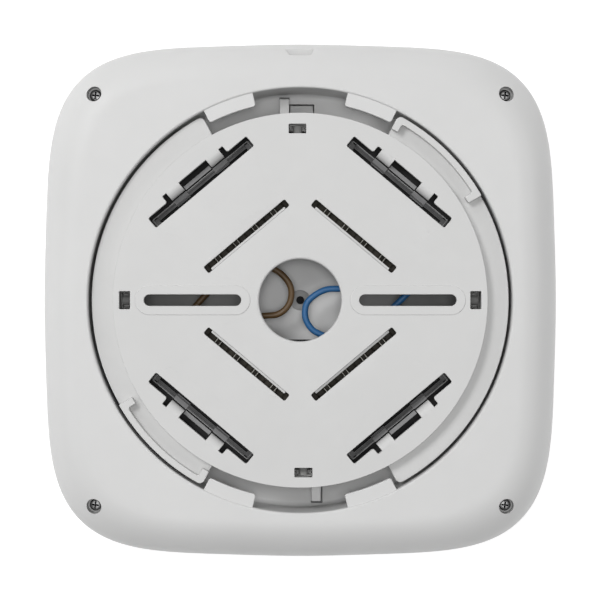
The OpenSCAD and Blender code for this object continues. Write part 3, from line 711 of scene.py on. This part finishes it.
# Snap arms seen through the windows: a cheek on each side of a curved barb
arms = []
for ang, cx, cy, hu, hv, dz in ((0, -1.1, 68.7, 3.5, 1.9, -3.9), (180, -1.3, 69.0, 3.6, 1.9, -3.9), (90, 0, 70.3, 3.6, 2.2, -9.5), (-90, 0, 70.3, 3.6, 2.2, -9.5)):
    def pw(p): return place(p, ang, cx, cy)
    sleeve = prism("arm", pw(rect(-hu - 0.9, hu + 0.9, -hv - 0.9, hv + 0.9, 0.4)), -15.0, -DISC_T)
    boolean(sleeve, [prism("c", pw(rect(-hu, hu, -hv, hv, 0.3)), -16.0, -2.0)])
    arms.append(sleeve)
    arms.append(prism("arm", pw(rect(-hu - 0.1, hu + 0.1, hv - 0.8, hv + 0.1, 0.1, 3)), -14.8, dz, 0.35))
    arms.append(prism("arm", pw(rect(-hu - 0.1, hu + 0.1, -hv + 1.2, hv - 0.7, 0.1, 3)), -14.8, dz - 2.2, 0.3))
    for k in (-1, 1):
        e0, e1 = sorted((k * (hu - 0.95), k * (hu + 0.1)))
        arms.append(prism("arm", pw(rect(e0, e1, -hv + 1.0, hv - 0.6, 0.1, 3)), -14.8, dz - 0.9, 0.3))
    rs = []
    for v, z in ((hv - 0.7, 0.1), (hv - 1.5, 0.0), (0.0, -0.3), (-hv + 1.0, -0.6), (-hv + 0.02, -1.1)):
        rs.append([(x, y, dz + z + e) for (x, y), e in zip(pw([(-1.9, v), (-1.4, v), (-0.6, v), (0.6, v), (1.4, v), (1.9, v), (1.9, v), (-1.9, v)]), (-1.4, -0.6, -0.1, -0.1, -0.6, -1.4, -5.5, -5.5))])
    arms.append(stack("arm", rs))
plate = dress(plate, "plate_white")
finish_shape(plate, 30)
put(plate, "plate", "plate_white", *[n for n in ("mounting_plate", "plate_skirt") if n in frame["nodes"]])
# the arms and sleeves carry painted shade
arm = join([dress(o, "arm_painted_shade") for o in arms], "snap_arms")
finish_shape(arm, 50, 0.1, 2)
put(arm, "plate", "plate_white")

# ------------------------------------------------------------------ clip sockets, springs and seals
soc, spr, sea = [], [], []
for a in DIAG:
    def pl(p): return place(p, a - 90, 0, 61.7)
    s1 = prism("s", pl(rect(-26.4, 26.4, -3.5, 6.4, 0.6)), -9.8, -DISC_T, 0.1, 0.3)
    boolean(s1, [prism("c", pl(rect(-25.8, 25.8, -2.75, 5.9, 0.5)), -9.2, -1)])
    dress(s1, "socket_black")
    rails = [prism("s", pl(rect(-24.3, 24.3, -0.95, 1.15, 0.1, 3)), -8.6, -6.2, 0.1, 0, 3),
             prism("s", pl(rect(-22.9, 22.9, -0.95, -0.35, 0.1, 3)), -6.4, -5.6, 0.12, 0, 3),
             prism("s", pl(rect(-24.3, 24.3, 0.25, 1.15, 0.1, 3)), -6.4, -5.6, 0.12, 0, 3)]
    for k in (-1, 1):
        e0, e1 = sorted((k * 22.7, k * 25.4))
        rails.append(prism("s", pl(rect(e0, e1, -2.65, 1.15, 0.25, 3)), -8.6, -5.6, 0.14, 0, 3))
    soc += [dress(q, "socket_rail") for q in rails]
    # thin strips of painted highlight along the rail's edge and ends
    for q in (rect(-24.8, 24.8, 0.86, 1.24, 0.05, 2), rect(-24.8, -24.52, -2.2, 0.95, 0.05, 2), rect(24.52, 24.8, -2.2, 0.95, 0.05, 2)):
        soc.append(dress(prism("s", pl(q), -5.8, -5.35, 0.08, 0, 2), "socket_painted_highlight"))
    soc.append(s1)
    for s in (-1, 1):
        rs = []
        for u, e in ((6.9, 0.12), (7.0, 0.0), (13.5, 0.0), (13.6, 0.12)):
            prof = [(-1.3, -7.2), (-1.3, -6.35), (-1.1, -6.15), (-0.2, -5.7), (0.5, -5.25), (0.95, -4.95), (1.3, -4.85), (1.5, -5.0), (1.5, -7.2)]
            q = place([(s * u, v) for v, z in prof], a - 90, 0, 61.7)
            rs.append([(x, y, z - e) for (x, y), (v, z) in zip(q, prof)])
        spr.append(stack("t", rs if s > 0 else rs[::-1]))
    spr.append(prism("t", pl(rect(-6.7, 6.7, 1.75, 3.45, 0.12, 3)), -8.4, -4.9, 0.12))

    def ps(p): return place(p, a - 90, 0, 33.4)
    e1 = prism("e", ps(rect(-22.4, 22.4, -2.8, 2.9, 0.5)), -7.4, -DISC_T, 0.0, 0.2)
    boolean(e1, [prism("c", ps(rect(-21.1, 21.1, -1.65, 1.65, 0.3)), -6.2, -1)])
    dress(e1, "seal_rubber")
    sea.append(e1)
    for i in range(13):
        u = -19.2 + 3.2 * i
        q = prism("r", ps(rect(u - 0.35, u + 0.35, -1.66, 1.66, 0.1, 2)), -6.4, -5.2, 0.25)
        dress(q, "seal_rubber")
        sea.append(q)
    for u in (3.84, 5.8, 13.4, 15.4):
        for s in (-1, 1):
            q = prism("r", ps(rect(s * u - 0.13, s * u + 0.13, -0.5, 1.66, 0.05, 2)), -6.4, -2.9, 0.06)
            dress(q, "seal_rib")
            sea.append(q)
for q in spr:
    dress(q, "spring_steel")
sock = finish_shape(join(soc, "clip_socket_set"), 32)
put(sock, "plate", "socket_black", "clip_sockets")
spring = finish_shape(join(spr, "clip_spring_set"), 32)
put(spring, "plate", "spring_steel", "clip_springs")
seals = finish_shape(join(sea, "slot_seal_set"), 32)
put(seals, "plate", "seal_rubber", "slot_seals")

# ------------------------------------------------------------------ leads
LIVE = [(-5, -28, -18.5), (-5, -33.5, -18.5), (-9, -37.5, -17.5), (-17, -37, -16), (-25, -30, -14.5),
        (-28, -20, -13), (-26.5, -12, -12.2), (-21.5, -7.6, -12), (-15, -6.4, -12), (-9.5, -5.8, -12),
        (-6, -3.6, -12), (-3.9, 0.1, -12), (-3.8, 5, -12), (-6.5, 9.5, -12), (-11, 12.8, -12),
        (-17.5, 15.4, -12), (-25, 14, -12), (-32, 8.5, -12), (-40.3, 0, -12), (-47, -8, -12.6),
        (-52, -17, -14.5), (-54.6, -25, -18.5), (-55, -30, -23), (-55, -31.4, -27), (-54.5, -34, -31.2),
        (-54, -38, -33.7), (-54, -42, -33.9)]
NEUTRAL = [(5, -28, -18.5), (5, -33.5, -18.5), (8.5, -37, -17.5), (15, -35.5, -15.6), (19, -29, -13.6),
           (18.5, -21.5, -12.4), (14, -16, -12), (8.6, -14, -12), (4.6, -11.6, -12), (2.1, -7, -12),
           (2.6, -1.5, -12), (6.2, 2.2, -12), (11, 4.4, -12), (17, 4.7, -12), (24, 5.8, -12),
           (31, 9.5, -12), (38, 13.6, -12), (46, 17, -12), (53, 15.6, -12), (54, 10, -12), (48.2, 6.8, -12),
           (40.8, 0, -12), (34.5, -6.6, -12.2), (30.8, -14, -13.2), (30, -22, -16.4), (30, -28, -21.5),
           (30, -30.8, -26.5), (31, -33.5, -30.8), (32.8, -38, -33.7), (33, -42, -33.9)]


def spline(p, m):
    out = []
    v = [Vector(q) for q in p]
    for i in range(len(v) - 1):
        a, b, c, d = v[max(0, i - 1)], v[i], v[i + 1], v[min(len(v) - 1, i + 2)]
        for k in range(m):
            t = k / m
            out.append(0.5 * (2 * b + (c - a) * t + (2 * a - 5 * b + 4 * c - d) * t * t + (3 * b - a - 3 * c + d) * t ** 3))
    return out + [v[-1]]


def tube(name, pts, r, sides=20, m=8):
    q = spline(pts, m)
    n = len(q)
    tan = [(q[min(n - 1, i + 1)] - q[max(0, i - 1)]).normalized() for i in range(n)]
    nrm = tan[0].cross(Vector((0.3, 0.2, 0.9))).normalized()
    rs = []
    for i in range(n):
        nrm = (nrm - tan[i] * nrm.dot(tan[i])).normalized()
        b = tan[i].cross(nrm)
        rr = r * (1 + 0.006 * math.sin(i * 0.9))
        rs.append([tuple(q[i] + rr * (nrm * cosd(k * 360 / sides) + b * sind(k * 360 / sides))) for k in range(sides)])
    return stack(name, rs)


live = dress(tube("live_insulation", LIVE, 1.29), "lead_brown")
finish_shape(live, 60)
put(live, "unit", "lead_brown", "live_lead")
neut = dress(tube("neutral_insulation", NEUTRAL, 1.29), "lead_blue")
finish_shape(neut, 60)
put(neut, "unit", "lead_blue", "neutral_lead")

# ------------------------------------------------------------------ corner screws
def screw(cx, cy, z, turn):
    c = circle(0, 0, 1, 48)

    def rg(r, zz): return [(cx + r * x, cy + r * y, zz) for x, y in c]
    prof = [(1.5, PART - 8), (1.5, z - 2.0), (2.38, z - 2.0), (2.40, z - 1.5), (2.38, z - 0.9), (2.28, z - 0.5), (2.05, z - 0.2), (1.7, z - 0.04), (1.2, z)]
    s = stack("screw", [rg(r, zz) for r, zz in prof])
    for k in range(2):
        arm_ = [(-1.6, -0.34), (1.6, -0.34), (1.6, 0.34), (-1.6, 0.34)]
        lo = [(-0.5, -0.2), (0.5, -0.2), (0.5, 0.2), (-0.5, 0.2)]
        t = turn + 90 * k
        rs = [[(cx + x, cy + y, z - 1.25) for x, y in place(lo, t)],
              [(cx + x, cy + y, z - 0.2) for x, y in place([(0.9 * x, y) for x, y in arm_], t)],
              [(cx + x, cy + y, z + 0.3) for x, y in place(arm_, t)]]
        boolean(s, [stack("c", rs)])
    dress(s, "screw_steel", "chip_black")
    # painted shade: the faces inside the cross recess get the black chip material
    for f in s.data.polygons:
        v = f.center * 1000
        if v.z > z - 1.3 and v.z < z - 0.06 and math.hypot(v.x - cx, v.y - cy) < 1.62:
            f.material_index = 1
    return s


scr = join([screw(sx * SCR, sy * SCR, HEAD_Z, t) for sx, sy, t in ((-1, 1, -5), (1, 1, -7), (1, -1, -6), (-1, -1, -8))], "corner_screw_set")
finish_shape(scr, 35)
put(scr, "unit", "screw_steel", "corner_screws")

# ------------------------------------------------------------------ detent tongue
def side_profile(name, prof, x0, x1, e=0.15):
    rs = []
    for x in (x0, x0 + e, x1 - e, x1):
        k = e if x in (x0, x1) else 0.0
        rs.append([(x, y, z - k * 0.6) for y, z in prof])
    return stack(name, rs)


F = FLOOR
tongue = side_profile("detent_leaf", [(60.9, F - 0.2), (61.1, F), (71.4, F), (73.0, SKIRT - 0.5), (74.6, SKIRT - 0.5), (76.6, F + 0.02), (77.3, F - 0.05),
                                      (78.6, F - 0.45), (79.9, F - 0.75), (80.2, F - 0.95), (80.2, F - 1.8), (60.9, F - 1.8)], -4.2, 5.2)
pin = stack("pin", [[(x, 61.9 + 0.9 * cosd(i * 15), F - 1.8 + 0.9 * sind(i * 15)) for i in range(24)] for x in (-5.4, 6.4)])
boolean(tongue, [pin], "UNION")
dress(tongue, "housing_white")
finish_shape(tongue, 35)
put(tongue, "detent", "housing_white", "detent_tongue")

# ------------------------------------------------------------------ the pieces that keep their design shape
BEVEL = {
    "terminal_block": 0.3, "terminal_contacts": 0.12, "release_button_live": 0.3, "release_button_neutral": 0.3,
    "lead_grommets": 0.25, "reset_button": 0.2, "reset_switch": 0.15, "main_board": 0.12, "board_screws": 0.2,
    "processor": 0.15, "thermal_pad": 0.1, "heat_spreader": 0.15, "rf_shields": 0.12, "ethernet_jack": 0.15,
    "ethernet_contacts": 0.05, "ethernet_transformer": 0.3, "antennas_24ghz": 0.1, "antennas_5ghz": 0.1,
    "status_led": 0.15, "status_light_pipe": 0.15, "power_board": 0.12, "power_transformer": 0.35,
    "input_choke": 0.8, "capacitors": 0.4, "fuse": 0.25, "input_tabs": 0.12, "power_link": 0.2, "cover_gasket": 0.0,
}
SLOT = {s["node"]: s["material_slot"] for s in frame["record"]["subparts"]}
for name, ob in frame["nodes"].items():
    if name in BEVEL:
        mat = MAT[SLOT[name]]
        if not ob.material_slots:
            ob.data.materials.append(mat)
        for ms in ob.material_slots:
            ms.material = mat
        finish_shape(ob, 32, BEVEL[name], 2, weld=True)

# ------------------------------------------------------------------ floor and light
floor = make("floor", [(-2500, -2500, FRONT - 0.15), (2500, -2500, FRONT - 0.15), (2500, 2500, FRONT - 0.15), (-2500, 2500, FRONT - 0.15)], [(0, 1, 2, 3)])
fm, fnt, fb = new_mat("floor")
fb.inputs["Base Color"].default_value = (0.42, 0.42, 0.42, 1)
fb.inputs["Roughness"].default_value = 0.9
fb.inputs["Emission Color"].default_value = (1, 1, 1, 1)
fb.inputs["Emission Strength"].default_value = 0.72
floor.data.materials.append(fm)

world = bpy.data.worlds.new("world")
scene.world = world
world.use_nodes = True
world.node_tree.nodes["Background"].inputs["Color"].default_value = (1, 1, 1, 1)
world.node_tree.nodes["Background"].inputs["Strength"].default_value = 0.25


def area(name, loc, size, power):
    d = bpy.data.lights.new(name, "AREA")
    d.shape = "DISK"
    d.size = size
    d.energy = power
    o = bpy.data.objects.new(name, d)
    o.location = loc
    o.rotation_euler = (Vector((0, 0, 0)) - Vector(loc)).to_track_quat("-Z", "Y").to_euler()
    scene.collection.objects.link(o)
    return o


area("key", (-0.72, 0.66, 1.30), 0.6, 11.9)
area("top_fill", (-0.55, 1.2, 0.7), 0.6, 2.2)
area("overhead", (0.0, 0.0, 1.5), 0.5, 7.0)
area("left_fill", (-1.2, -0.1, 0.9), 0.6, 3.2)
area("right_fill", (1.3, 0.1, 0.75), 0.6, 4.2)
